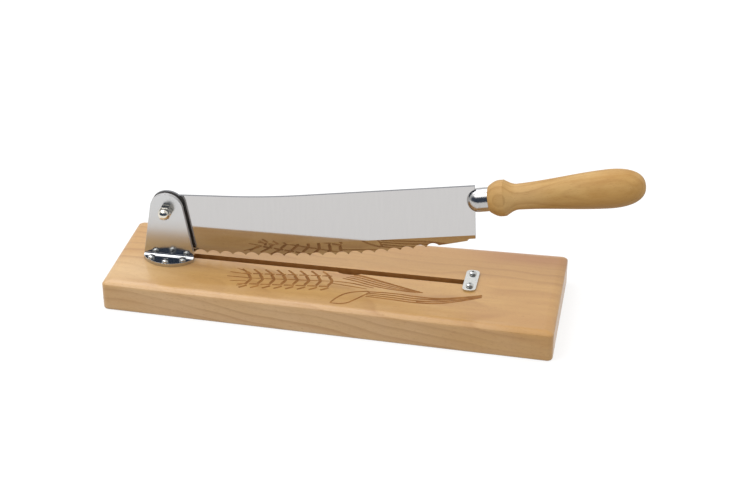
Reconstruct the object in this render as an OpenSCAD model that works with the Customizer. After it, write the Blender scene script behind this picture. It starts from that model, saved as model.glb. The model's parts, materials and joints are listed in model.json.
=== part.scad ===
// Bread guillotine: a beech board with a cutting slot, a scalloped blade that swings on a bent steel
// bracket at one end, and a turned handle on the other end of the blade.
// Millimetres, +Z up. The origin is the centre of the board's underside, +X points to the handle.
// The blade is drawn closed, about its pivot, and is then raised to the angle at which it is shown.

/* [Board] */
// Length of the board
board_l = 359; // [320:1:420]
// Width of the board at the pivot end
board_w_pivot = 104; // [90:1:140]
// Width of the board at the handle end
board_w_handle = 122; // [90:1:150]
// Thickness of the board
board_t = 25; // [22:0.5:36]
// Depth of the rounding of the board's top edges, seen from above
board_edge_r = 4; // [2:0.5:4.5]
// Height of the rounding of the board's top edges
board_edge_h = 5.5; // [2:0.5:8]
// Rounding of the board's lower edges
board_foot_r = 2; // [1:0.5:4]
// Rounding of the board's corners, seen from above
corner_r = 4.5; // [4.5:0.5:14]

/* [Cutting slot] */
// Width of the slot that the edge drops into
slot_w = 7; // [6.6:0.1:10]
// Distance of the slot behind the board's centre line
slot_y = 2.4; // [-6:0.1:8]
// Room under the deepest point of the closed edge
slot_clear = 3.2; // [2:0.1:5]
// Length of the slot behind the pivot's plumb line
slot_lead = 9; // [4:0.5:14]

/* [Bracket] */
// Distance of the pivot from the board's pivot end
pivot_from_end = 42.9; // [36:0.1:55]
// Height of the pivot above the board's top
pivot_h = 44; // [38:0.5:56]
// Thickness of the bracket's plate
bracket_t = 3; // [1.5:0.1:3.5]
// Radius of the bracket's round top
bracket_top_r = 13.5; // [11:0.5:16]
// Height of the round top's centre above the pivot
bracket_crown = 1; // [0:0.1:3]
// Width of the bracket at its bend
bracket_base_w = 41; // [34:0.5:50]
// Inside radius of the bend
bend_r = 2; // [1:0.25:4]
// Reach of the foot in front of the upright
foot_depth = 13.5; // [13.5:0.5:18]
// Length of the foot's straight sides, in front of which its edge is round
foot_side = 0.8; // [0.4:0.1:3]

/* [Pivot] */
// Diameter of the pivot bolt
bolt_d = 6; // [5:0.5:8]
// Length of the spacer that holds the blade off the bracket
spacer_l = 3; // [3:0.25:8]
// Diameter of the spacer
spacer_d = 12; // [11:0.5:16]
// Diameter of the washer behind the blade
washer_d = 14; // [12:0.5:18]
// Thickness of the washer
washer_t = 1.6; // [1:0.1:2.5]
// Width across flats of the bolt's head and of the cap nut
hex_af = 10; // [9:0.5:13]
// Height of the bolt's head
head_h = 4; // [3:0.25:6]
// Height of the cap nut's hexagon
nut_hex_h = 5; // [4:0.25:7]
// Diameter of the cap nut's dome
nut_dome_d = 9.4; // [8.5:0.1:12]
// Height of the cap nut
nut_h = 11; // [10:0.5:14]

/* [Blade] */
// Length of the blade from the pivot to its end
blade_l = 243.4; // [220:0.2:260]
// Thickness of the blade
blade_t = 2; // [1.5:0.1:2.4]
// Distance of the blade in front of the slot's middle
blade_off = 1.3; // [0:0.1:1.3]
// Radius of the round heel about the pivot
heel_r = 14.4; // [10:0.1:14.5]
// Length of edge behind the first scallop
heel_plain = 8.6; // [6:0.1:14]
// Place of the edge's back corner, in front of the pivot
heel_corner = 4.5; // [2:0.5:10]
// Height of the straight spine above the pivot
spine_h = 3.3; // [0:0.1:4]
// Where the straight spine begins, from the pivot
spine_flat = 110; // [90:1:130]
// Radius of the hollow curve between the heel and the straight spine
spine_r = 630; // [500:10:800]
// Fall of the spine from the heel, in degrees
spine_fall = 5.4; // [4:0.1:6.5]
// How far the edge dips below the board's top when the blade is closed
belly_depth = 7.2; // [5:0.1:10]
// Distance from the edge's end back to its deepest point
belly_back = 103.4; // [90:0.2:120]
// How far the edge's end drops below the board's top
edge_sink = 0.1; // [0:0.05:0.5]
// Length of the blunt tab that lands on the stop
tab_l = 6.6; // [5.5:0.1:9]
// Radius of the notch between the edge and the tab
notch_r = 2.5; // [1.5:0.1:3.5]
// Lean of the blade's end, in degrees
end_lean = 6.7; // [0:0.1:9]
// Pitch of the scallops
scallop_pitch = 10.6; // [8:0.1:14]
// Depth of the scallops
scallop_depth = 2.8; // [1.5:0.1:3.5]
// Width of the tips left between the scallops
scallop_tip = 0.5; // [0.3:0.1:1.5]
// Length of plain edge after the last scallop
edge_plain = 21; // [12:0.5:30]
// Width of the ground bevel at the deepest point of the edge
bevel_w = 12.1; // [9:0.1:14]
// Thickness left at the deepest point of the edge
edge_t = 0.5; // [0.3:0.05:1]
// Angle at which the blade is shown, above closed, in degrees
raise_deg = 9.25; // [0:0.25:80]

/* [Stop strap] */
// Width of the strap, along the board
strap_w = 10.6; // [9:0.2:16]
// Length of the strap, across the slot
strap_l = 31.5; // [28:0.5:40]
// Thickness of the strap
strap_t = 1.5; // [1:0.1:2.5]
// Corner radius of the strap
strap_r = 4; // [1:0.1:4.2]
// Distance between the strap's two screws
strap_screw_gap = 18.6; // [16:0.2:20]
// Space between the edge's end and the strap
strap_gap = 2.2; // [1.5:0.1:3]
// Distance of the strap's middle behind the slot
strap_off = 1.8; // [0:0.1:2.5]

/* [Screws] */
// Diameter of the wood screws
screw_d = 3; // [2.5:0.1:3.5]
// Length of the wood screws under the head
screw_l = 16; // [12:0.5:19]
// Diameter of the pan heads
screw_head_d = 6; // [5:0.1:7]
// Height of the pan heads
screw_head_h = 2.4; // [2:0.1:2.8]
// Height of the pan heads' upright rim
screw_rim_h = 1.3; // [0.8:0.1:1.6]
// Distance of the outer foot screws from the bracket's centre line
foot_screw_x = 12.9; // [9:0.1:13]
// Distance of the outer foot screws from the upright's face
foot_screw_y = 5.8; // [5.6:0.1:6]
// Distance of the middle foot screw from the upright's face
foot_screw_mid = 10.2; // [9:0.1:10.3]

/* [Bolster and tang] */
// Diameter of the bolster
bolster_d = 18.8; // [17:0.2:22]
// Length of the bolster's straight part, up to the handle
bolster_l = 8.1; // [6:0.1:12]
// Distance of the bolster's axis below the spine
bolster_drop = 12.4; // [11:0.1:14]
// How far the bolster's round nose reaches back over the blade
bolster_lap = 6.3; // [4:0.1:8]
// Tilt of the handle's axis against the spine, in degrees
handle_tilt = 2; // [0:0.25:6]
// Height of the blade's tongue inside the bolster
tongue_h = 8; // [7:0.5:10]
// Reach of the tongue past the centre of the bolster's nose
tongue_l = 5; // [4:0.1:5.5]
// Diameter of the rivet through bolster and tongue
rivet_d = 4; // [3:0.25:4.5]
// Diameter of the bolster's spigot in the handle
spigot_d = 13; // [11:0.5:14]
// Length of the spigot
spigot_l = 12; // [8:0.5:16]
// Diameter of the tang stud
stud_d = 6; // [5:0.5:8]
// Depth of the stud in the handle, past the spigot
stud_l = 58; // [40:1:80]

/* [Handle] */
// Length of the handle
handle_l = 119.3; // [108:0.1:130]
// Radius of the handle's face against the bolster
face_r = 10; // [9.4:0.1:11.5]
// Radius of the collar
collar_r = 14; // [12.5:0.1:16]
// Length of the collar's round shoulder
collar_l = 9; // [6:0.5:12]
// Width of the collar's flat land
collar_land = 3.4; // [1:0.1:5]
// Length of the cove between collar and neck
cove_l = 10; // [7:0.1:13]
// Radius of the neck
neck_r = 9.95; // [9:0.05:12]
// Largest radius of the grip
grip_r = 14.85; // [13:0.05:17]
// Length of the rounded end of the grip
grip_end_l = 27.3; // [22:0.1:34]

/* [Fits] */
// Running clearance of the blade on the bolt, on the radius and on each face
run_gap = 0.05; // [0.02:0.01:0.09]
// Clearance of seated pieces
seat_gap = 0.05; // [0.02:0.01:0.1]
// Gap between the closed blade's tab and the stop strap
stop_gap = 0.2; // [0.1:0.05:0.5]

/* [Hidden] */
$fn = 64;
cut = 1;                     // how far cutting tools reach past the faces they cut
tuck = 0.03;                 // how far a straight side runs into the round it blends with
round_fn = 32;               // sides of the posts that round the board's corners
round_steps = 6;             // steps of the rounding of the board's edges
beech = [0.84, 0.67, 0.48];
steel = [0.80, 0.80, 0.80];
chrome = [0.72, 0.74, 0.77];

// Places on the board
pivot_x = -board_l / 2 + pivot_from_end;
pivot_z = board_t + pivot_h;
blade_y = slot_y - blade_off;
blade_front = blade_y - blade_t / 2;
blade_back = blade_y + blade_t / 2;
bracket_back = blade_front - run_gap - spacer_l;
bracket_front = bracket_back - bracket_t;
slot_depth = belly_depth + slot_clear;

// Outline of the closed blade, about the pivot, x to the handle and y up
edge_end = blade_l - tab_l;
belly_z = -pivot_h - belly_depth;
belly_x = edge_end - belly_back;
belly_rise = belly_depth - edge_sink;
belly_r = (belly_back * belly_back + belly_rise * belly_rise) / (2 * belly_rise);
tab_z = -pivot_h + strap_t + stop_gap;
spine_end = blade_l + (spine_h - tab_z) * tan(end_lean);
bevel_z = belly_z + bevel_w;
scallop_half = (scallop_pitch - scallop_tip) / 2;
scallop_r = (scallop_half * scallop_half + scallop_depth * scallop_depth) / (2 * scallop_depth);
scallop_first = heel_corner + heel_plain;
scallop_count = floor((edge_end - edge_plain - scallop_first) / scallop_pitch);

// Places of the strap and of the bolster
strap_x = pivot_x + edge_end + strap_gap + strap_w / 2;
strap_y = slot_y + strap_off;
bolster_r = bolster_d / 2;
bolster_z = spine_h - bolster_drop;
nose_x = blade_l + (bolster_z - tab_z) * tan(end_lean) - bolster_lap + bolster_r;
spigot_end = bolster_l + spigot_l;

// Height of the belly's arc at a distance from the pivot
function edge_z(x) = belly_z + belly_r - sqrt(belly_r * belly_r - (x - belly_x) * (x - belly_x));

// Angle of the belly's arc at a distance from the pivot, about the arc's centre
function edge_angle(x) = asin((x - belly_x) / belly_r);

// Where the blade's straight back edge touches the round heel
heel_far = norm([heel_corner, edge_z(heel_corner)]);
heel_turn = atan2(edge_z(heel_corner), heel_corner) - acos(heel_r / heel_far);
heel_touch = [heel_r * cos(heel_turn), heel_r * sin(heel_turn)];

// Where the back edge, drawn on past the belly's arc, meets a line under the whole edge
deep_z = belly_z - bevel_w;
deep_x = heel_touch[0]
    + (heel_corner - heel_touch[0]) * (deep_z - heel_touch[1]) / (edge_z(heel_corner) - heel_touch[1]);

// Height of the spine: straight, then a hollow arc, then a straight rise to the heel
spine_bend = spine_flat - spine_r * sin(spine_fall);
spine_bend_z = spine_h + spine_r * (1 - cos(spine_fall));
spine_heel_z = spine_bend_z + spine_bend * tan(spine_fall);
spine_steps = 12;
function spine_arc(i) =
    let (a = spine_fall * i / spine_steps)
    [spine_flat - spine_r * sin(a), spine_h + spine_r * (1 - cos(a))];

// Radius of the handle at a distance from its collar's face
swell_line = 0.4;            // share of straight taper in the grip's swell
end_power = 2.4;             // fullness of the grip's round end
collar_steps = 10;
cove_steps = 8;
swell_steps = 16;
end_steps = 15;
function collar_curve(x) = face_r + (collar_r - face_r) * sin(90 * x / collar_l);
function cove_curve(x) = neck_r + (collar_r - neck_r) * (1 - sin(90 * x / cove_l));
function swell_curve(u) = neck_r
    + (grip_r - neck_r) * (swell_line * u + (1 - swell_line) * (1 - cos(180 * u)) / 2);
function end_curve(u) = grip_r * pow(1 - pow(u, end_power), 1 / end_power);

// A pan head wood screw, its seat at the origin
module pan_screw() {
    dome_h = screw_head_h - screw_rim_h;
    dome_r = (screw_head_d * screw_head_d / 4 + dome_h * dome_h) / (2 * dome_h);
    tip_l = screw_d;
    intersection() {
        cylinder(d = screw_head_d, h = screw_head_h);
        translate([0, 0, screw_head_h - dome_r]) sphere(r = dome_r);
    }
    translate([0, 0, tip_l - screw_l]) cylinder(d = screw_d, h = screw_l - tip_l);
    translate([0, 0, -screw_l]) cylinder(d1 = screw_d / 4, d2 = screw_d, h = tip_l);
}

// Puts a copy of its children at each foot screw
module at_foot_screws() {
    for (side = [-1, 1])
        translate([pivot_x + side * foot_screw_x, bracket_front - foot_screw_y, board_t + bracket_t])
            children();
    translate([pivot_x, bracket_front - foot_screw_mid, board_t + bracket_t]) children();
}

// Puts a copy of its children at each strap screw
module at_strap_screws() {
    for (side = [-1, 1])
        translate([strap_x, strap_y + side * strap_screw_gap / 2, board_t + strap_t]) children();
}

// The hole that a wood screw sits in, from its seat down
module screw_hole() {
    translate([0, 0, -screw_l - seat_gap]) cylinder(r = screw_d / 2 + seat_gap, h = screw_l + cut);
}

// Turns a piece that is drawn along +Z so that it lies along +Y on the pivot, from the given place
module on_pivot(y) {
    translate([pivot_x, y, pivot_z]) rotate([-90, 0, 0]) children();
}

// Raises a piece of the closed blade, drawn about the pivot in the blade's own plane
module swung() {
    translate([pivot_x, blade_y, pivot_z]) rotate([0, -raise_deg, 0]) children();
}

// Turns a piece drawn along +Z into the handle's axis, from the centre of the bolster's nose
module on_handle_axis() {
    swung() translate([nose_x, 0, bolster_z]) rotate([0, 90 - handle_tilt, 0]) children();
}

// Stands a flat outline of the blade up and gives it a thickness about the blade's mid plane
module upright(thick) {
    translate([0, thick / 2, 0]) rotate([90, 0, 0]) linear_extrude(thick) children();
}

// Beech board, narrower at the pivot end, with rounded edges and a blind slot for the cutting edge
module board() {
    color(beech) difference() {
        hull() {
            for (end = [[-1, board_w_pivot], [1, board_w_handle]])
                for (side = [-1, 1])
                    translate([end[0] * (board_l / 2 - corner_r), side * (end[1] / 2 - corner_r), 0])
                        corner_post();
        }
        slot_cut();
        at_foot_screws() screw_hole();
        at_strap_screws() screw_hole();
    }
}

// A round post at a corner of the board, with the rounding of the lower and the upper edge
module corner_post() {
    core = corner_r - board_edge_r;
    rotate_extrude($fn = round_fn) polygon(concat(
        [[0, 0]],
        [for (i = [0 : round_steps])
            let (a = 90 * i / round_steps)
            [corner_r - board_foot_r * (1 - sin(a)), board_foot_r * (1 - cos(a))]],
        [for (i = [0 : round_steps])
            let (a = 90 * i / round_steps)
            [core + board_edge_r * cos(a), board_t - board_edge_h * (1 - sin(a))]],
        [[0, board_t]]));
}

// The milled slot, round at both ends as the cutter leaves it
module slot_cut() {
    back = pivot_x + slot_lead;
    translate([0, slot_y, board_t - slot_depth]) linear_extrude(slot_depth + cut) {
        translate([back, -slot_w / 2]) square([strap_x - back, slot_w]);
        for (x = [back, strap_x])
            translate([x, 0]) circle(d = slot_w);
    }
}

// Steel strap across the end of the slot, on which the closed blade's tab comes to rest
module stop_strap() {
    color(chrome) difference() {
        translate([strap_x, strap_y, board_t]) linear_extrude(strap_t) {
            square([strap_w, strap_l - 2 * strap_r], center = true);
            square([strap_w - 2 * strap_r, strap_l], center = true);
            for (sx = [-1, 1])
                for (sy = [-1, 1])
                    translate([sx * (strap_w / 2 - strap_r), sy * (strap_l / 2 - strap_r)])
                        circle(r = strap_r);
        }
        at_strap_screws() screw_hole();
    }
}

// Two wood screws that hold the strap
module strap_screws() {
    color(chrome) at_strap_screws() pan_screw();
}

// Bent steel plate: a tapered upright with a round top, a bend, and a half-round foot
module hinge_bracket() {
    bend_z = board_t + bracket_t + bend_r;
    bend_y = bracket_front - bend_r;
    half_w = bracket_base_w / 2;
    reach = foot_depth - bend_r;
    bow = reach - foot_side;
    foot_r = (half_w * half_w + bow * bow) / (2 * bow);
    crown_z = pivot_z + bracket_crown;
    rise = crown_z - bend_z;
    // angle at which the straight side touches the round top, and the side's end just inside it
    tuck_r = bracket_top_r - tuck;
    touch = acos(tuck_r / sqrt(half_w * half_w + rise * rise)) - atan2(rise, half_w);
    touch_x = tuck_r * cos(touch);
    touch_z = crown_z + tuck_r * sin(touch);
    color(chrome) difference() {
        union() {
            translate([0, bracket_back, 0]) rotate([90, 0, 0]) linear_extrude(bracket_t) {
                translate([pivot_x, crown_z]) circle(r = bracket_top_r, $fn = 96);
                translate([pivot_x, 0])
                    polygon([[-half_w, bend_z], [half_w, bend_z], [touch_x, touch_z], [0, crown_z],
                             [-touch_x, touch_z]]);
            }
            translate([pivot_x - half_w, bend_y, bend_z]) rotate([90, 0, 90])
                linear_extrude(bracket_base_w) intersection() {
                    difference() {
                        circle(r = bend_r + bracket_t);
                        circle(r = bend_r);
                    }
                    translate([0, -bend_r - bracket_t]) square(bend_r + bracket_t);
                }
            translate([pivot_x, 0, board_t]) linear_extrude(bracket_t) intersection() {
                translate([0, bend_y - reach + foot_r]) circle(r = foot_r, $fn = 96);
                translate([-half_w, bend_y - reach]) square([bracket_base_w, reach]);
            }
        }
        on_pivot(bracket_front - cut) cylinder(r = bolt_d / 2 + seat_gap, h = bracket_t + 2 * cut);
        at_foot_screws() screw_hole();
    }
}

// Three wood screws that hold the bracket's foot
module bracket_screws() {
    color(chrome) at_foot_screws() pan_screw();
}

// Hexagon bolt from behind the blade, through washer, blade, spacer and bracket into the cap nut
module pivot_bolt() {
    head_y = blade_back + run_gap + washer_t;
    tip_y = bracket_front - nut_h + nut_dome_d / 2;
    color(steel) {
        on_pivot(head_y) cylinder(d = hex_af / cos(30), h = head_h, $fn = 6);
        on_pivot(tip_y) cylinder(d = bolt_d, h = head_y - tip_y);
    }
}

// Domed cap nut on the front of the bracket, with a blind hole for the bolt
module pivot_cap_nut() {
    dome_z = nut_h - nut_dome_d / 2;
    color(chrome) translate([pivot_x, bracket_front, pivot_z]) rotate([90, 0, 0]) difference() {
        union() {
            cylinder(d = hex_af / cos(30), h = nut_hex_h, $fn = 6);
            cylinder(d = nut_dome_d, h = dome_z);
            translate([0, 0, dome_z]) sphere(d = nut_dome_d);
        }
        translate([0, 0, -cut]) cylinder(r = bolt_d / 2 + seat_gap, h = dome_z + cut + seat_gap);
    }
}

// Sleeve on the bolt between bracket and blade
module pivot_spacer() {
    color(steel) on_pivot(bracket_back) difference() {
        cylinder(d = spacer_d, h = spacer_l);
        translate([0, 0, -cut]) cylinder(r = bolt_d / 2 + seat_gap, h = spacer_l + 2 * cut);
    }
}

// Flat washer between blade and bolt head
module rear_washer() {
    color(steel) on_pivot(blade_back + run_gap) difference() {
        cylinder(d = washer_d, h = washer_t);
        translate([0, 0, -cut]) cylinder(r = bolt_d / 2 + seat_gap, h = washer_t + 2 * cut);
    }
}

// The blade's end inside the bolster, grown by a clearance: its leaning end and its tongue
module blade_root(grow) {
    low = bolster_z - bolster_d;
    lean_low = blade_l + (low - tab_z) * tan(end_lean);
    polygon([[nose_x - bolster_d, low], [lean_low + grow, low],
             [spine_end + grow, spine_h + grow], [nose_x - bolster_d, spine_h + grow]]);
    translate([nose_x - bolster_r, bolster_z - tongue_h / 2 - grow])
        square([bolster_r + tongue_l + grow, tongue_h + 2 * grow]);
}

// Polished blade: heel, body and tongue of one sheet, with a bevel ground on the front
module blade() {
    color(steel) swung() difference() {
        union() {
            upright(blade_t) circle(r = heel_r);
            upright(blade_t) blade_outline();
            upright(blade_t) translate([nose_x - bolster_r, bolster_z - tongue_h / 2])
                square([bolster_r + tongue_l, tongue_h]);
        }
        upright(blade_t + 2 * cut) circle(r = bolt_d / 2 + run_gap);
        translate([nose_x, 0, bolster_z]) upright(blade_t + 2 * cut)
            circle(r = rivet_d / 2 + seat_gap);
        bevel_cut();
    }
}

// Outline of the blade's body: hollow spine, leaning end, blunt tab and scalloped belly
module blade_outline() {
    difference() {
        intersection() {
            polygon(concat(
                [[0, 0], [0, spine_heel_z]],
                [for (i = [spine_steps : -1 : 0]) spine_arc(i)],
                [[spine_end, spine_h], [blade_l, tab_z], [blade_l, deep_z], [deep_x, deep_z],
                 heel_touch]));
            translate([belly_x, belly_z + belly_r]) circle(r = belly_r, $fn = 360);
        }
        tab_notch();
        for (i = [0 : scallop_count - 1])
            scallop_cut(edge_angle(scallop_first) + (i + 0.5) * scallop_pitch / belly_r * 180 / PI);
    }
}

// What is cut away under the tab: a round notch and the stretch up to the blade's end
module tab_notch() {
    translate([edge_end, tab_z - notch_r]) {
        translate([notch_r, 0]) circle(r = notch_r);
        translate([notch_r, -belly_depth]) square([tab_l, notch_r + belly_depth]);
        translate([0, -belly_depth]) square([notch_r, belly_depth]);
    }
}

// One scallop: a round bite whose two tips lie on the belly's arc, at an angle about the arc's centre
module scallop_cut(angle) {
    translate([belly_x, belly_z + belly_r]) rotate(angle)
        translate([0, scallop_depth - scallop_r - belly_r]) circle(r = scallop_r);
}

// The bevel: a wedge off the front face, from a straight line down past the edge
module bevel_cut() {
    slope = (blade_t - edge_t) / bevel_w;
    fall = bevel_w + cut;
    translate([heel_corner - heel_r, 0, 0]) rotate([90, 0, 90]) linear_extrude(blade_l + heel_r)
        polygon([[-blade_t / 2, bevel_z], [-blade_t / 2 + slope * fall, bevel_z - fall],
                 [-blade_t / 2 - cut, bevel_z - fall], [-blade_t / 2 - cut, bevel_z]]);
}

// The bolster's outer form: a round nose, a straight part and a spigot for the handle
module bolster_form() {
    on_handle_axis() {
        sphere(r = bolster_r);
        cylinder(r = bolster_r, h = bolster_l);
        cylinder(d = spigot_d, h = spigot_end);
    }
}

// Chromed bolster, slotted for the blade's end and bored for the rivet and the stud
module bolster() {
    color(chrome) difference() {
        bolster_form();
        swung() upright(blade_t + 2 * seat_gap) blade_root(seat_gap);
        rivet_bar(rivet_d / 2 + seat_gap);
        on_handle_axis() translate([0, 0, bolster_l])
            cylinder(r = stud_d / 2 + seat_gap, h = spigot_l + cut);
    }
}

// A round bar across the bolster, through the blade's tongue
module rivet_bar(r) {
    swung() translate([nose_x, bolster_d, bolster_z]) rotate([90, 0, 0])
        cylinder(r = r, h = 2 * bolster_d);
}

// Rivet that holds the blade in the bolster, ground flush with its round side
module bolster_rivet() {
    color(chrome) intersection() {
        bolster_form();
        rivet_bar(rivet_d / 2);
    }
}

// Steel stud from the bolster's spigot into the handle
module tang_stud() {
    color(steel) on_handle_axis() translate([0, 0, bolster_l + seat_gap])
        cylinder(d = stud_d, h = spigot_l + stud_l - seat_gap);
}

// Turned beech handle: round collar, cove, neck, swelling grip and round end
module handle() {
    neck_x = collar_l + collar_land + cove_l;
    swell_l = handle_l - neck_x - grip_end_l;
    hole_l = spigot_l + stud_l;
    color(beech) on_handle_axis() translate([0, 0, bolster_l]) difference() {
        rotate_extrude($fn = 72) polygon(concat(
            [[0, 0]],
            [for (i = [0 : collar_steps])
                let (x = collar_l * i / collar_steps)
                [collar_curve(x), x]],
            [for (i = [0 : cove_steps])
                let (x = cove_l * i / cove_steps)
                [cove_curve(x), collar_l + collar_land + x]],
            [for (i = [1 : swell_steps])
                let (u = i / swell_steps)
                [swell_curve(u), neck_x + swell_l * u]],
            [for (i = [1 : end_steps])
                let (u = sin(90 * i / end_steps))
                [end_curve(u), handle_l - grip_end_l * (1 - u)]]));
        translate([0, 0, -cut]) cylinder(r = spigot_d / 2 + seat_gap, h = spigot_l + cut + seat_gap);
        translate([0, 0, -cut]) cylinder(r = stud_d / 2 + seat_gap, h = hole_l + cut + seat_gap);
    }
}

board();
stop_strap();
strap_screws();
hinge_bracket();
bracket_screws();
pivot_bolt();
pivot_cap_nut();
pivot_spacer();
rear_washer();
blade();
bolster();
bolster_rivet();
tang_stud();
handle();
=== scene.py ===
import json
from math import asin, cos, pi, radians, sin, sqrt

import bmesh
import bpy
from mathutils import Matrix, Vector


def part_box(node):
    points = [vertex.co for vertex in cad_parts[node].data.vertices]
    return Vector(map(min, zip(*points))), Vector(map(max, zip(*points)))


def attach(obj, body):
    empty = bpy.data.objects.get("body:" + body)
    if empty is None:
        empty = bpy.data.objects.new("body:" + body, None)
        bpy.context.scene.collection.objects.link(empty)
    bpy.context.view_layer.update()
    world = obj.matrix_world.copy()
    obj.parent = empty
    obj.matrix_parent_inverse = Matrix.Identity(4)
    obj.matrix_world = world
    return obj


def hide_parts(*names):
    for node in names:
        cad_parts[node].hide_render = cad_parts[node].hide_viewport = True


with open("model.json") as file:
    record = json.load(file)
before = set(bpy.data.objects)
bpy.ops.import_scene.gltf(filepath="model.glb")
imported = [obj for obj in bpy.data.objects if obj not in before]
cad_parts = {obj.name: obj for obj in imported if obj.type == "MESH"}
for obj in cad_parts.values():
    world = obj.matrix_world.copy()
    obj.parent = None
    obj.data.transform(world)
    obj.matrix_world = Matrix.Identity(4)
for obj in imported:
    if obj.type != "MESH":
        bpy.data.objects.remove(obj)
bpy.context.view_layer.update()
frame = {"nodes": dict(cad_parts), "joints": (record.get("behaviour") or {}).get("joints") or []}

# The board is a thick beech plank, sawn wider at the handle end, with routed round edges, sanded and oiled.
# It has a blind slot for the cutting edge, with a chip out of its front edge, and an ear of wheat is cut
# into its top with a round tool and burnt brown.
mm = 0.001
board_low, board_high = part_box("board")
board_top = board_high.z
pivot_end_w = 104 * mm
board_corner_r = 4.5 * mm
board_edge_r, board_edge_h, board_edge_d = 4 * mm, 3.2 * mm, 8.5 * mm
board_foot_r = 2 * mm
round_steps, foot_steps = 10, 6
slot_w, slot_y, slot_depth = 7 * mm, 2.4 * mm, 10.4 * mm
slot_from, slot_to = -131.1 * mm, 111.2 * mm
slot_end_share = 0.999
lift_over = 2 * mm


def paint(red, green, blue):
    """A colour as the eye reads it, 0 to 255, as the linear colour that a shader takes."""
    return tuple((v / 255) ** 2.2 for v in (red, green, blue)) + (1.0,)


def node(tree, kind, inputs=None, **settings):
    """Adds a shader node, with its settings, and its inputs as values or as links."""
    made = tree.nodes.new("ShaderNode" + kind)
    for key, value in settings.items():
        setattr(made, key, value)
    for key, value in (inputs or {}).items():
        if isinstance(value, bpy.types.NodeSocket):
            tree.links.new(value, made.inputs[key])
        else:
            made.inputs[key].default_value = value
    return made


def ramp(tree, value, *stops):
    """A colour ramp over a value, from stops of (place, colour)."""
    made = node(tree, "ValToRGB", {"Fac": value})
    band = made.color_ramp.elements
    for stop, (place, colour) in enumerate(stops):
        if stop >= len(band):
            band.new(place)
        band[stop].position = place
        band[stop].color = colour
    return made.outputs["Color"]


def mixed(tree, share, first, second, how="MIX"):
    """Two colours mixed by a share."""
    made = node(tree, "Mix", {0: share, 6: first, 7: second}, data_type="RGBA", blend_type=how)
    return made.outputs[2]


def new_finish(name):
    """A new material with its node tree, its shader and the piece's own coordinates."""
    finish = bpy.data.materials.new(name)
    finish.use_nodes = True
    tree = finish.node_tree
    return finish, tree, tree.nodes["Principled BSDF"], node(tree, "TexCoord").outputs["Object"]


def beech(name, pale, brown, late, turn, pith, ring_gap, bend, rough, patches):
    """Solid beech: rings about a pith, streaks and flecks along the grain, and patches of other tones, some
    of them painted light and shade.
    """
    finish, tree, shader, place = new_finish(name)
    grain = node(tree, "Mapping", {"Vector": place, "Location": pith, "Rotation": turn}).outputs[0]

    def noise(scale, detail):
        """A noise that is drawn out along the grain."""
        drawn = node(tree, "Mapping", {"Vector": grain, "Scale": scale}).outputs[0]
        return node(tree, "TexNoise", {"Vector": drawn, "Scale": 1, "Detail": detail}).outputs["Fac"]

    def maths(how, first, second):
        """Arithmetic on two values."""
        return node(tree, "Math", {0: first, 1: second}, operation=how).outputs[0]

    across = node(tree, "Mapping", {"Vector": grain, "Scale": (0, 1, 1)}).outputs[0]
    radius = node(tree, "VectorMath", {0: across}, operation="LENGTH").outputs["Value"]
    bent = maths("ADD", radius, maths("MULTIPLY", noise((7, 11, 11), 2), bend))
    ring = maths("FRACT", maths("DIVIDE", bent, ring_gap), 0)
    ring_share = ramp(tree, ring, (0, (0.05,) * 4), (0.6, (0.12,) * 4), (0.9, (0.5,) * 4), (1, (0.05,) * 4))
    clear = ramp(tree, noise((9, 40, 40), 1), (0.38, (0.25,) * 4), (0.62, (1,) * 4))
    ring_share = mixed(tree, 1, ring_share, clear, "MULTIPLY")
    streak = noise((7, 230, 230), 4)
    streak_share = ramp(tree, streak, (0.4, (0,) * 4), (0.8, (0.8,) * 4))
    fleck = noise((240, 2600, 2600), 1)
    fleck_share = ramp(tree, fleck, (0.6, (0,) * 4), (0.72, (0.4,) * 4))
    wood = ramp(tree, noise((4, 24, 24), 2), (0.35, pale), (0.7, brown))
    wood = mixed(tree, streak_share, wood, brown)
    cloud = ramp(tree, noise((50, 130, 130), 3), (0.42, (0,) * 4), (0.7, (0.5,) * 4))
    wood = mixed(tree, cloud, wood, brown)
    for middle, reach, tone, share in patches:
        spread = node(tree, "Mapping", {"Vector": place, "Location": middle, "Scale": reach},
                      vector_type="TEXTURE")
        away = node(tree, "VectorMath", {0: spread.outputs[0]}, operation="LENGTH").outputs["Value"]
        away = maths("ADD", away, maths("MULTIPLY", noise((20, 60, 60), 3), 0.8))
        near = node(tree, "MapRange", {"Value": away, "From Min": 1.4, "From Max": 0.6, "To Max": share})
        wood = mixed(tree, near.outputs["Result"], wood, tone)
    wood = mixed(tree, ring_share, wood, late)
    wood = mixed(tree, fleck_share, wood, late)
    tree.links.new(wood, shader.inputs["Base Color"])
    gloss = node(tree, "MapRange", {"Value": streak, "To Min": rough - 0.05, "To Max": rough + 0.08})
    tree.links.new(gloss.outputs["Result"], shader.inputs["Roughness"])
    pores = node(tree, "Bump", {"Height": fleck, "Strength": 0.12, "Distance": 0.05 * mm})
    tree.links.new(pores.outputs["Normal"], shader.inputs["Normal"])
    return finish
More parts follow.
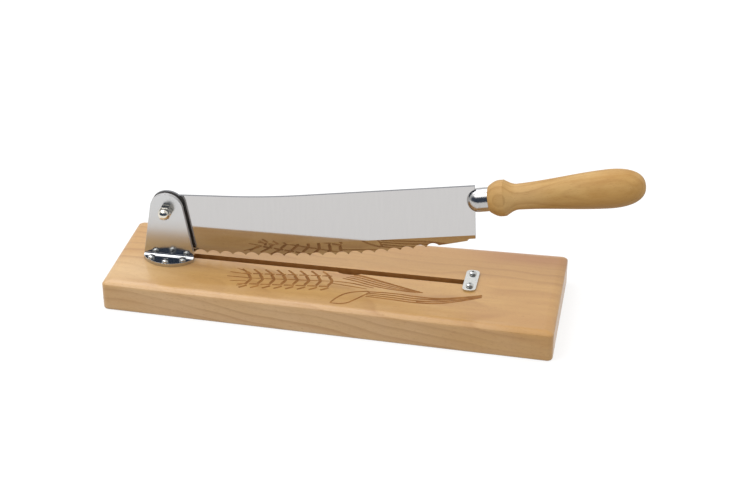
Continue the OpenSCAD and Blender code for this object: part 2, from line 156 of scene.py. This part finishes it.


# Patches of other tones in the wood and of painted light and shade: middle and reach in metres, the tone and
# its share.
# Paler and pinker on the front face and its round edge: partly the wood's own tone, partly painted light on
# that side.
front_tone_and_painted_light = ((-0.08, -0.064, 0.006), (0.3, 0.028, 0.045), paint(221, 184, 142), 0.8)
# Paler on the top at the left front: partly the wood's own paler tone, partly painted light where the left is
# lit more.
left_pale_and_painted_light = ((-0.16, -0.03, 0.025), (0.06, 0.035, 0.02), paint(230, 198, 152), 0.45)
# Darker brown towards the right rear: partly the wood's own pinker tone, partly painted shade where less
# light falls.
rear_tone_and_painted_shade = ((0.12, 0.05, 0.025), (0.2, 0.04, 0.05), paint(192, 146, 92), 0.85)
heart_patch = ((0.15, 0.05, 0.025), (0.06, 0.016, 0.02), paint(176, 124, 82), 0.8)
# Darker brown about the chip at the slot's front edge: painted shade around the recess.
chip_painted_shade = ((0.010, -0.004, 0.025), (0.018, 0.006, 0.02), paint(194, 136, 86), 0.5)
board_beech = beech("board_beech", paint(211, 167, 103), paint(195, 147, 90), paint(166, 116, 66),
                    turn=(0, radians(-6), radians(-1.5)), pith=(0, 0.05, 0.05), ring_gap=8 * mm, bend=30 * mm,
                    rough=0.3, patches=(front_tone_and_painted_light, left_pale_and_painted_light, rear_tone_and_painted_shade, heart_patch, chip_painted_shade))
board_oil = board_beech.node_tree.nodes["Principled BSDF"]
board_oil.inputs["Coat Weight"].default_value = 0.15
board_oil.inputs["Coat Roughness"].default_value = 0.2


def burnt_wood(name, dark, edge):
    """Wood browned by the cutter, a little uneven along the cut; in the slot its deeper brown is also painted
    shade.
    """
    finish, tree, shader, place = new_finish(name)
    patches = node(tree, "TexNoise", {"Vector": place, "Scale": 160, "Detail": 3})
    brown = ramp(tree, patches.outputs["Fac"], (0.35, dark), (0.75, edge))
    tree.links.new(brown, shader.inputs["Base Color"])
    shader.inputs["Roughness"].default_value = 0.7
    return finish


engraved_wood = burnt_wood("engraved_wood", paint(144, 94, 42), paint(172, 120, 62))
# The slot's walls: wood browned by the cutter, darkened further as painted shade inside the slot.
slot_burn_and_painted_shade = burnt_wood("slot_burn_and_painted_shade", paint(148, 98, 44), paint(166, 114, 58))


def link(name, mesh, *finishes):
    """Puts a mesh into the scene under a name, with its materials."""
    for finish in finishes:
        mesh.materials.append(finish)
    piece = bpy.data.objects.new(name, mesh)
    bpy.context.scene.collection.objects.link(piece)
    return piece


def shaped(name, bm, *finishes):
    """Turns a finished bmesh into a piece."""
    mesh = bpy.data.meshes.new(name)
    bm.to_mesh(mesh)
    bm.free()
    return link(name, mesh, *finishes)


def carve(piece, tool):
    """Cuts a tool's shape out of a piece, whose cut faces take the tool's material, and drops the tool."""
    cutting = piece.modifiers.new("carve", "BOOLEAN")
    cutting.operation = "DIFFERENCE"
    cutting.solver = "EXACT"
    cutting.use_self = True
    cutting.material_mode = "TRANSFER"
    cutting.object = tool
    carved = bpy.data.meshes.new_from_object(piece.evaluated_get(bpy.context.evaluated_depsgraph_get()))
    piece.modifiers.clear()
    piece.data = carved
    bpy.data.objects.remove(tool)


def shade(piece, crease=40):
    """Smooth shading that keeps flat faces flat and edges over an angle sharp."""
    for face in piece.data.polygons:
        face.use_smooth = True
    piece.data.set_sharp_from_angle(angle=radians(crease))
    even = piece.modifiers.new("even_normals", "WEIGHTED_NORMAL")
    even.weight = 100
    even.keep_sharp = True


def round_over(bm, edges, radius, steps):
    """Rounds edges as a router does."""
    bmesh.ops.bevel(bm, geom=edges, offset=radius, offset_type="OFFSET", segments=steps, profile=0.5,
                    affect="EDGES", material=-1, clamp_overlap=False)


def board_plank():
    """The plank: a block, tapered, with round corners and edges, the upper ones drawn out deep and low."""
    size = board_high - board_low
    bm = bmesh.new()
    bmesh.ops.create_cube(bm, size=1, matrix=Matrix.Translation((board_low + board_high) / 2)
                          @ Matrix.Diagonal((*size, 1)))
    for v in bm.verts:
        if v.co.x < 0:
            v.co.y *= pivot_end_w / size.y
    upright = [e for e in bm.edges if abs(e.verts[0].co.z - e.verts[1].co.z) > size.z / 2]
    round_over(bm, upright, board_corner_r, round_steps)
    for height, radius, steps in ((board_high.z, board_edge_r, round_steps),
                                  (board_low.z, board_foot_r, foot_steps)):
        rim = [e for e in bm.edges if all(abs(v.co.z - height) < mm / 10 for v in e.verts)]
        round_over(bm, rim, radius, steps)
    for v in bm.verts:
        rise = min(1, 1 - (board_high.z - v.co.z) / board_edge_r)
        if rise > 0:
            out = sqrt(1 - rise ** 2)
            inset = (board_edge_d - board_edge_r) * (1 - out)
            v.co.x *= 1 - 2 * inset / size.x
            v.co.y *= 1 - 2 * inset / size.y
            v.co.z = board_high.z - board_edge_h * (1 - rise)
    return bm


def slot_tool():
    """What the slot cutter takes out: a long block with half-round ends."""
    depth = slot_depth + lift_over
    middle = Vector(((slot_from + slot_to) / 2, slot_y, board_top + lift_over - depth / 2))
    bm = bmesh.new()
    bmesh.ops.create_cube(bm, size=1, matrix=Matrix.Translation(middle)
                          @ Matrix.Diagonal((slot_to - slot_from, slot_w, depth, 1)))
    upright = [e for e in bm.edges if abs(e.verts[0].co.z - e.verts[1].co.z) > depth / 2]
    round_over(bm, upright, slot_w / 2 * slot_end_share, round_steps)
    return bm


chip_middle = Vector((10.5 * mm, slot_y - slot_w / 2, board_top))
chip_reach = Vector((9 * mm, 2.3 * mm, 3.2 * mm))


def chip_tool():
    """What is broken out of the slot's front edge, by the leaves."""
    bm = bmesh.new()
    bmesh.ops.create_uvsphere(bm, u_segments=32, v_segments=16, radius=1,
                              matrix=Matrix.Translation(chip_middle) @ Matrix.Diagonal((*chip_reach, 1)))
    return bm


# The wheat, in millimetres on the board's top: the ear's axis, its pairs of grains, awns, stalk and leaves.
ear_tip, ear_root = Vector((-64, -24)), Vector((0, -16))
grain_pairs = 8
grain_up = ((0, 0), (-2.2, 3.6), (-3.8, 6.4))
grain_low = ((0, 0), (-0.8, -4.0), (-2.2, -7.2))
beard_up = ((-3.6, 7.2), (-6.6, 10.2), (-10.4, 13.4))
beard_low = ((-1.0, -10.2), (-3.2, -12.4), (-6.6, -14.8))
rib_up = ((-1.6, 7.6), (-5.6, 7.4), (-9.6, 6.6))
rib_low = ((-1.0, -8.2), (-5.0, -8.8), (-9.0, -9.4))
awns = (((-67, -15), (-73, -12.6), (-79, -10)), ((-67, -18), (-76, -17), (-83, -16.6)),
        ((-66, -23), (-75, -23.2), (-84, -23.4)), ((-67, -28), (-74, -28.8), (-80, -30)),
        ((-66, -31), (-69, -33.6), (-73, -36)))
stalk = (((0, -15.6), (13, -15.4), (24, -17.6), (34, -20)), ((0.6, -19.2), (17, -20.6), (29, -22.4)),
         ((-66, -23.4), (-32, -19.4), (0, -16)))
upper_leaf = (((15, -3.8), (19, -3.4), (24, -4.6), (34, -7.8), (50, -13), (73, -20)),
              ((7, -10), (12, -10.8), (19, -12.4), (27, -15.2), (44, -19.6), (68, -20.8)))
upper_leaf_lines, upper_leaf_fill = 4, 0
loop_leaf = (((31, -25.6), (20, -27.6), (9, -36), (4.8, -47.6)),
             ((4.8, -47.6), (15, -49.2), (25, -37), (32, -27)))
lower_leaf = (((30, -26.4), (48, -24.4), (70, -27), (94, -25.6), (119, -15)),
              ((30, -33.2), (50, -34), (70, -36), (94, -32.8), (119, -18.4)))
lower_leaf_lines, lower_leaf_fill = 4, 2
leaf_fill_from = 0.5
line_w, rib_w, grain_w, beard_w, leaf_w, leaf_edge_w = 1.8, 2.2, 3.2, 2.6, 1.8, 2.8
grain_ends, line_ends, leaf_ends = 0.7, 0.6, 0.8
groove_flat = 0.5
groove_lift = 0.06 * mm


def leaf_lines(leaf, count, fill):
    """Lines side by side from a leaf's one edge to the other, with more in between on its outer half."""
    for line in range(count):
        yield [Vector(a).lerp(Vector(b), line / (count - 1)) for a, b in zip(*leaf)]
    for line in range(fill):
        points = [Vector(a).lerp(Vector(b), (line + 0.5) / fill) for a, b in zip(*leaf)]
        yield points[int(leaf_fill_from * len(points)):]


def gouge(curve, points, width, ends):
    """One stroke of the round tool through points, that thins to a share of its width at both ends."""
    stroke = curve.splines.new("NURBS")
    stroke.points.add(len(points) - 1)
    stroke.order_u = min(3, len(points))
    stroke.use_endpoint_u = True
    stroke.resolution_u = 8
    for place, (x, y) in enumerate(points):
        along = place / (len(points) - 1)
        stroke.points[place].co = (x * mm, y * mm, 0, 1)
        stroke.points[place].radius = width / 2 * mm * (ends + (1 - ends) * sin(pi * along))


def wheat_tool():
    """All strokes of the wheat as flattened round cutters, about a quarter as deep as they are wide."""
    curve = bpy.data.curves.new("wheat_strokes", "CURVE")
    curve.dimensions = "3D"
    curve.bevel_depth = 1
    curve.bevel_resolution = 2
    curve.use_fill_caps = True
    pair_strokes = ((grain_up, grain_w), (grain_low, grain_w), (beard_up, beard_w), (beard_low, beard_w),
                    (rib_up, rib_w), (rib_low, rib_w))
    for pair in range(grain_pairs):
        root = ear_tip.lerp(ear_root, pair / (grain_pairs - 1))
        for path, width in pair_strokes:
            gouge(curve, [(root.x + x, root.y + y) for x, y in path], width, grain_ends)
    for path in (*awns, *stalk):
        gouge(curve, path, line_w, line_ends)
    for number, path in enumerate(leaf_lines(upper_leaf, upper_leaf_lines, upper_leaf_fill)):
        gouge(curve, path, leaf_w if number else leaf_edge_w, line_ends)
    for path in (*loop_leaf, *leaf_lines(lower_leaf, lower_leaf_lines, lower_leaf_fill)):
        gouge(curve, path, leaf_w, leaf_ends)
    strokes = link("wheat_strokes", curve)
    mesh = bpy.data.meshes.new_from_object(strokes.evaluated_get(bpy.context.evaluated_depsgraph_get()))
    bpy.data.objects.remove(strokes)
    flattened = Matrix.Diagonal((1, 1, groove_flat, 1))
    mesh.transform(Matrix.Translation((0, 0, board_top + groove_lift)) @ flattened)
    return link("wheat_tool", mesh, engraved_wood)


board = shaped("beech_board", board_plank(), board_beech)
carve(board, shaped("slot_tool", slot_tool(), slot_burn_and_painted_shade))
carve(board, shaped("chip_tool", chip_tool(), slot_burn_and_painted_shade))
carve(board, wheat_tool())
shade(board)
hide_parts("board")
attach(board, "base")

# The stop strap is a short steel bar over the end of the slot, cut from bright strip, its edges broken.
# Two pan-head wood screws hold it, one on each side of the slot.
dull_share = 0.98


def plated(name, tone, rough, streaks, turn=(0, 0, 0), sheen_range=0.04):
    """Bright plated or polished steel: fine polishing lines that change how sharply it reflects."""
    finish, tree, shader, place = new_finish(name)
    lines = node(tree, "Mapping", {"Vector": place, "Rotation": turn, "Scale": streaks}).outputs[0]
    polish = node(tree, "TexNoise", {"Vector": lines, "Scale": 1, "Detail": 3})
    shader.inputs["Metallic"].default_value = 1
    dull = tuple(dull_share * v for v in tone[:3]) + (1.0,)
    tree.links.new(ramp(tree, polish.outputs["Fac"], (0.3, dull), (0.7, tone)), shader.inputs["Base Color"])
    blur = node(tree, "MapRange", {"Value": polish.outputs["Fac"], "To Min": rough - sheen_range,
                                   "To Max": rough + sheen_range})
    tree.links.new(blur.outputs["Result"], shader.inputs["Roughness"])
    return finish


bright_zinc = plated("bright_zinc", paint(214, 212, 205), 0.2, (900, 60, 900))
screw_zinc = plated("screw_zinc", paint(196, 196, 192), 0.14, (500, 500, 500))
weld = mm / 1000
flat_angle, sharp_angle = radians(0.2), radians(30)


def merged_copy(node_name):
    """A copy of a frame piece with its loose triangles joined and its flat faces whole."""
    bm = bmesh.new()
    bm.from_mesh(frame["nodes"][node_name].data)
    bmesh.ops.remove_doubles(bm, verts=bm.verts, dist=weld)
    bmesh.ops.dissolve_limit(bm, angle_limit=flat_angle, verts=bm.verts, edges=bm.edges)
    return bm


def eased(name, node_name, width, finish):
    """A frame piece with its sharp edges broken by a small round, which stands for that piece."""
    bm = merged_copy(node_name)
    corners = [e for e in bm.edges if e.is_manifold and e.calc_face_angle() > sharp_angle]
    bmesh.ops.bevel(bm, geom=corners, offset=width, offset_type="OFFSET", segments=3, profile=0.5,
                    affect="EDGES", material=-1, clamp_overlap=True)
    piece = shaped(name, bm, finish)
    shade(piece, 45)
    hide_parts(node_name)
    return piece


strap = eased("slot_strap", "stop_strap", 0.35 * mm, bright_zinc)
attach(strap, "base")

screw_d = 3 * mm
head_d = 6 * mm
head_h, rim_h = 2.4 * mm, 1.3 * mm
rim_in, rim_dip, rim_drop = 0.12 * mm, 0.05 * mm, 0.3 * mm
seat_in, seat_rise = 0.1 * mm, 0.15 * mm
recess_l, recess_w, recess_depth, recess_taper = 3.5 * mm, 0.95 * mm, 1.3 * mm, 0.55
dome_steps, screw_steps = 10, 40


def solid_boxes(node_name):
    """Lowest and highest corner of each separate solid of a frame piece."""
    bm = merged_copy(node_name)
    left = set(bm.verts)
    boxes = []
    while left:
        island, front = set(), [left.pop()]
        while front:
            v = front.pop()
            island.add(v)
            near = {e.other_vert(v) for e in v.link_edges} & left
            left -= near
            front.extend(near)
        boxes.append([Vector(f(v.co[k] for v in island) for k in range(3)) for f in (min, max)])
    bm.free()
    return sorted(boxes, key=lambda box: (box[0].x, box[0].y))


def turned(outline, axis, steps):
    """An outline spun about an axis through the origin, as on a lathe."""
    bm = bmesh.new()
    verts = [bm.verts.new(point) for point in outline]
    for a, b in zip(verts, verts[1:]):
        bm.edges.new((a, b))
    bmesh.ops.spin(bm, geom=bm.verts[:] + bm.edges[:], cent=(0, 0, 0), axis=axis, angle=2 * pi,
                   steps=steps, use_merge=True)
    bmesh.ops.remove_doubles(bm, verts=bm.verts, dist=weld)
    bmesh.ops.recalc_face_normals(bm, faces=bm.faces)
    return bm


def pan_screw(low, high, turn):
    """A pan-head wood screw in a box: turned in one, with a cross recess pressed into its head."""
    seat = high.z - head_h
    dome_h = head_h - rim_h
    dome_r = (head_d ** 2 / 4 + dome_h ** 2) / (2 * dome_h)
    rim = asin(head_d / 2 / dome_r)
    angles = [rim * step / dome_steps for step in range(dome_steps)]
    outline = [(dome_r * sin(a), 0, high.z - dome_r * (1 - cos(a))) for a in angles]
    outline += [(head_d / 2 - rim_in, 0, seat + rim_h - rim_dip), (head_d / 2, 0, seat + rim_h - rim_drop),
                (head_d / 2, 0, seat + seat_rise), (head_d / 2 - seat_in, 0, seat), (screw_d / 2, 0, seat),
                (screw_d / 2, 0, low.z + screw_d), (0, 0, low.z)]
    screw = shaped("screw", turned(outline, (0, 0, 1), screw_steps), screw_zinc)
    cross = bmesh.new()
    for arm in (0, pi / 2):
        place = Matrix.Translation((0, 0, high.z)) @ Matrix.Rotation(turn + arm, 4, "Z")
        bmesh.ops.create_cube(cross, size=1, matrix=place
                              @ Matrix.Diagonal((recess_l, recess_w, 2 * recess_depth, 1)))
    for v in cross.verts:
        if v.co.z < high.z:
            v.co.xy *= recess_taper
    carve(screw, shaped("cross", cross, screw_zinc))
    middle = (low + high) / 2
    screw.data.transform(Matrix.Translation((middle.x, middle.y, 0)))
    return screw


def screw_set(name, node_name, turns):
    """All screws of one kind as one piece, each with its recess turned its own way."""
    screws = [pan_screw(low, high, radians(t)) for (low, high), t in zip(solid_boxes(node_name), turns)]
    bm = bmesh.new()
    for screw in screws:
        bm.from_mesh(screw.data)
        bpy.data.objects.remove(screw)
    piece = shaped(name, bm, screw_zinc)
    shade(piece, 35)
    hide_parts(node_name)
    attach(piece, "base")


screw_set("strap_pan_screws", "strap_screws", (22, 70))

# The hinge bracket is bent from steel plate: an upright with a round top for the pivot, and a foot.
# It is polished and plated, and three pan-head wood screws hold its foot on the board.
bracket_plate = plated("bracket_plate", paint(199, 199, 199), 0.25, (60, 900, 700), sheen_range=0.02)
front_lean, cut_metal = 0.6, 0.5


def buffed(finish, low, high, smooth, matt):
    """Makes a plated finish smoother downwards, from one height to a lower one."""
    tree = finish.node_tree
    height = node(tree, "SeparateXYZ", {0: node(tree, "TexCoord").outputs["Object"]}).outputs["Z"]
    sheen = node(tree, "MapRange", {"Value": height, "From Min": low, "From Max": high,
                                    "To Min": smooth, "To Max": matt})
    for end in ("To Min", "To Max"):
        tree.links.new(sheen.outputs["Result"], tree.nodes["Map Range"].inputs[end])


def dulled(finish, from_height, back_too, tone, rough):
    """Leaves the narrow sides above a height, and the back if asked, duller and rougher, as they were cut,
    and in another tone; on the blade that tone is dark, painted shade on its edges.
    """
    tree = finish.node_tree
    shader = tree.nodes["Principled BSDF"]
    spot = node(tree, "TexCoord")
    facing = node(tree, "SeparateXYZ", {0: spot.outputs["Normal"]}).outputs["Y"]
    if not back_too:
        facing = node(tree, "Math", {0: facing}, operation="ABSOLUTE").outputs[0]
        facing = node(tree, "Math", {0: facing, 1: -1}, operation="MULTIPLY").outputs[0]
    height = node(tree, "SeparateXYZ", {0: spot.outputs["Object"]}).outputs["Z"]
    side = node(tree, "Math", {0: facing, 1: -front_lean}, operation="GREATER_THAN")
    above = node(tree, "Math", {0: height, 1: from_height}, operation="GREATER_THAN")
    share = node(tree, "Math", {0: side.outputs[0], 1: above.outputs[0]}, operation="MULTIPLY").outputs[0]
    polished = shader.inputs["Base Color"].links[0].from_socket
    tree.links.new(mixed(tree, share, polished, tone), shader.inputs["Base Color"])
    smooth = shader.inputs["Roughness"].links[0].from_socket
    sheen = node(tree, "Mix", {0: share, 2: smooth, 3: rough})
    tree.links.new(sheen.outputs[0], shader.inputs["Roughness"])
    metal = node(tree, "MapRange", {"Value": share, "To Min": 1, "To Max": cut_metal})
    tree.links.new(metal.outputs["Result"], shader.inputs["Metallic"])


buffed(bracket_plate, board_top + 4 * mm, board_top + 18 * mm, 0.1, 0.25)
dulled(bracket_plate, board_top + 8 * mm, True, paint(180, 178, 176), 0.5)
bracket = eased("pivot_bracket", "hinge_bracket", 0.4 * mm, bracket_plate)
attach(bracket, "base")
screw_set("foot_pan_screws", "bracket_screws", (15, 50, 33))

# The pivot is a hexagon bolt from behind, through a washer, the blade, a spacer sleeve and the bracket.
# A domed cap nut closes it on the front. Bolt, washer and sleeve are turned steel, and the nut is polished
# and plated.
turned_steel = plated("turned_steel", paint(186, 186, 188), 0.28, (700, 700, 700))
polished_nut = plated("polished_nut", paint(222, 215, 200), 0.12, (400, 400, 400), sheen_range=0.02)
for name, node_name, width, finish, slot_name in (
        ("pivot_sleeve", "pivot_spacer", 0.3, turned_steel, "bolt_steel"),
        ("pivot_washer", "rear_washer", 0.25, turned_steel, "bolt_steel"),
        ("pivot_hex_bolt", "pivot_bolt", 0.4, turned_steel, "bolt_steel"),
        ("pivot_dome_nut", "pivot_cap_nut", 0.35, polished_nut, "plated_steel")):
    piece = eased(name, node_name, width * mm, finish)
    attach(piece, "base")

# The blade is cut from stainless sheet and mirror polished, with a bevel ground on its front and scallops
# ground across its edge. Its heel turns on the pivot, and its tongue is held in the bolster.
arm_rise = -radians(frame["joints"][0]["range_deg"][0])
mirror_steel = plated("mirror_steel", paint(195, 193, 192), 0.05, (500, 500, 40), turn=(0, arm_rise, 0),
                      sheen_range=0.02)
# The blade's narrow sides, spine and heel included, are painted dark grey: painted shade on edges that are
# also ground rougher.
dulled(mirror_steel, 0, False, paint(120, 120, 122), 0.4)
blade = frame["nodes"]["blade"]
blade.data.materials.clear()
blade.data.materials.append(mirror_steel)

# The bolster is a round-nosed steel ferrule, slotted for the blade's end and chromed.
# A rivet, ground flush, goes through it and the blade's tongue, and a stud runs from it into the handle.
bright_chrome = plated("bright_chrome", paint(180, 178, 176), 0.2, (300, 300, 300), sheen_range=0.02)
bolster = eased("blade_bolster", "bolster", 0.3 * mm, bright_chrome)
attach(bolster, "blade_arm")
for node_name, finish, slot_name in (("bolster_rivet", bright_chrome, "plated_steel"),
                                     ("tang_stud", turned_steel, "bolt_steel")):
    carried = frame["nodes"][node_name]
    carried.data.materials.clear()
    carried.data.materials.append(finish)

# The handle is turned from beech: a round collar, a cove, a slim neck, a swelling grip and a round end.
# It is varnished, and it is bored for the bolster's spigot and the stud.
handle_tilt = radians(2)
handle_rise = arm_rise + handle_tilt
bolster_l = 8.1 * mm
handle_l = 119.3 * mm
face_r, face_ease = 10 * mm, 0.4 * mm
collar_r, collar_l, collar_land = 14 * mm, 9 * mm, 3.4 * mm
cove_l, neck_r = 10 * mm, 9.95 * mm
grip_r, grip_end_l = 14.85 * mm, 27.3 * mm
swell_line, end_power = 0.4, 2.4
bore_r, bore_l = 6.55 * mm, 12.05 * mm
collar_steps, cove_steps, swell_steps, end_steps, handle_steps = 16, 14, 32, 24, 96
grip_gold = ((0.215, 0, 0.112), (0.036, 0.03, 0.03), paint(180, 126, 52), 0.85)
neck_pale = ((0.145, -0.01, 0.108), (0.022, 0.02, 0.02), paint(220, 182, 124), 0.6)
handle_beech = beech("handle_beech", paint(211, 170, 105), paint(182, 135, 71), paint(162, 114, 55),
                     turn=(0, handle_rise, 0), pith=(0, 0.06, -0.1), ring_gap=5 * mm, bend=24 * mm,
                     rough=0.55, patches=(grip_gold, neck_pale))


def handle_outline():
    """Distance along the axis and radius, from the bore over the collar to the grip's end."""
    neck_x = collar_l + collar_land + cove_l
    swell_l = handle_l - neck_x - grip_end_l
    outline = [(bore_l, 0), (bore_l, bore_r), (0, bore_r), (0, face_r - face_ease)]
    for i in range(1, collar_steps + 1):
        x = collar_l * i / collar_steps
        outline.append((x, face_r + (collar_r - face_r) * sin(pi / 2 * x / collar_l)))
    for i in range(cove_steps + 1):
        x = cove_l * i / cove_steps
        radius = neck_r + (collar_r - neck_r) * (1 - sin(pi / 2 * x / cove_l))
        outline.append((collar_l + collar_land + x, radius))
    for i in range(1, swell_steps + 1):
        u = i / swell_steps
        share = swell_line * u + (1 - swell_line) * (1 - cos(pi * u)) / 2
        outline.append((neck_x + swell_l * u, neck_r + (grip_r - neck_r) * share))
    for i in range(1, end_steps + 1):
        u = sin(pi / 2 * i / end_steps)
        radius = grip_r * max(0, 1 - u ** end_power) ** (1 / end_power)
        outline.append((handle_l - grip_end_l * (1 - u), radius))
    return outline


rivet_low, rivet_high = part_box("bolster_rivet")
nose = (rivet_low + rivet_high) / 2
handle_axis = Matrix.Translation(nose) @ Matrix.Rotation(-handle_rise, 4, "Y")
handle_place = handle_axis @ Matrix.Translation((bolster_l, 0, 0))
bm = turned([(x, radius, 0) for x, radius in handle_outline()], (1, 0, 0), handle_steps)
bmesh.ops.transform(bm, matrix=handle_place, verts=bm.verts)
handle = shaped("turned_handle", bm, handle_beech)
shade(handle, 30)
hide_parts("handle")
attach(handle, "blade_arm")

# The studio: a white floor that keeps a faint shadow, a white backdrop, and two soft lights from above.
# What shines mirrors a room that is dark behind the camera and has a bright window overhead.
floor_half = 4
floor_glow, floor_matt = 0.77, (0.3, 0.3, 0.3, 1)
bm = bmesh.new()
bmesh.ops.create_grid(bm, x_segments=1, y_segments=1, size=floor_half)
floor_white = bpy.data.materials.new("floor_white")
floor_white.use_nodes = True
tree = floor_white.node_tree
tree.nodes.clear()
path = node(tree, "LightPath")
seen = node(tree, "Math", {0: path.outputs["Is Camera Ray"], 1: path.outputs["Is Glossy Ray"]},
            operation="MAXIMUM")
glow_level = node(tree, "Math", {0: seen.outputs[0], 1: floor_glow}, operation="MULTIPLY")
glow = node(tree, "Emission", {"Color": (1, 1, 1, 1), "Strength": glow_level.outputs[0]})
matt = node(tree, "BsdfDiffuse", {"Color": floor_matt})
both = node(tree, "AddShader", {0: glow.outputs[0], 1: matt.outputs[0]})
node(tree, "OutputMaterial", {"Surface": both.outputs[0]})
shaped("floor", bm, floor_white)

room_dark, room_bright, window_bright = (0.05, 0.07, 0.11, 1), (0.88, 0.90, 0.93, 1), (3.4, 3.5, 3.8, 1)
soft_grey, white = (0.88, 0.88, 0.88, 1), (1, 1, 1, 1)
world = bpy.data.worlds.new("studio")
bpy.context.scene.world = world
world.use_nodes = True
tree = world.node_tree
tree.nodes.clear()
path = node(tree, "LightPath")
way = node(tree, "SeparateXYZ", {0: node(tree, "TexCoord").outputs["Generated"]})
overhead = node(tree, "MapRange", {"Value": way.outputs["Z"], "From Min": 0.66, "From Max": 0.88})
behind = node(tree, "MapRange", {"Value": way.outputs["Y"], "From Min": -0.35, "From Max": 0.1})
bright = node(tree, "Math", {0: overhead.outputs[0], 1: behind.outputs[0]}, operation="MAXIMUM")
room = mixed(tree, bright.outputs[0], room_dark, room_bright)
window = node(tree, "MapRange", {"Value": way.outputs["Z"], "From Min": 0.54, "From Max": 0.68})
for axis, start, end in (("Y", 0.1, 0.45), ("X", 0.0, -0.2)):
    side = node(tree, "MapRange", {"Value": way.outputs[axis], "From Min": start, "From Max": end})
    window = node(tree, "Math", {0: window.outputs[0], 1: side.outputs[0]}, operation="MULTIPLY")
room = mixed(tree, window.outputs[0], room, window_bright)
lit = mixed(tree, path.outputs["Is Glossy Ray"], soft_grey, room)
shown = mixed(tree, path.outputs["Is Camera Ray"], lit, white)
node(tree, "OutputWorld", {"Surface": node(tree, "Background", {"Color": shown}).outputs[0]})


def soft_box(name, place, aim, width, watts):
    """A square soft light that looks at a point."""
    lamp = bpy.data.lights.new(name, "AREA")
    lamp.size = width
    lamp.energy = watts
    stand = bpy.data.objects.new(name, lamp)
    stand.location = place
    stand.rotation_euler = (Vector(aim) - Vector(place)).to_track_quat("-Z", "Y").to_euler()
    bpy.context.scene.collection.objects.link(stand)


soft_box("top_light", (-0.8, 0.1, 1.4), (0, 0, 0), 1.2, 4)
soft_box("front_light", (-0.5, -0.5, 1.3), (0, 0, 0), 0.7, 3.5)

# The camera stands where the photograph was taken: in front, a little to the right, looking down by
# about 30 degrees.
sight = bpy.data.cameras.new("camera")
sight.sensor_width = 36
sight.lens = 82.74
camera = bpy.data.objects.new("camera", sight)
camera.location = (0.249384, -1.157338, 0.725694)
aim = Vector((0.031198, 0, 0.047875))
camera.rotation_euler = (aim - camera.location).to_track_quat("-Z", "Y").to_euler()
camera.rotation_euler.rotate_axis("Z", radians(0.103))
bpy.context.scene.collection.objects.link(camera)
bpy.context.scene.camera = camera
bpy.context.scene.view_settings.view_transform = "Standard"
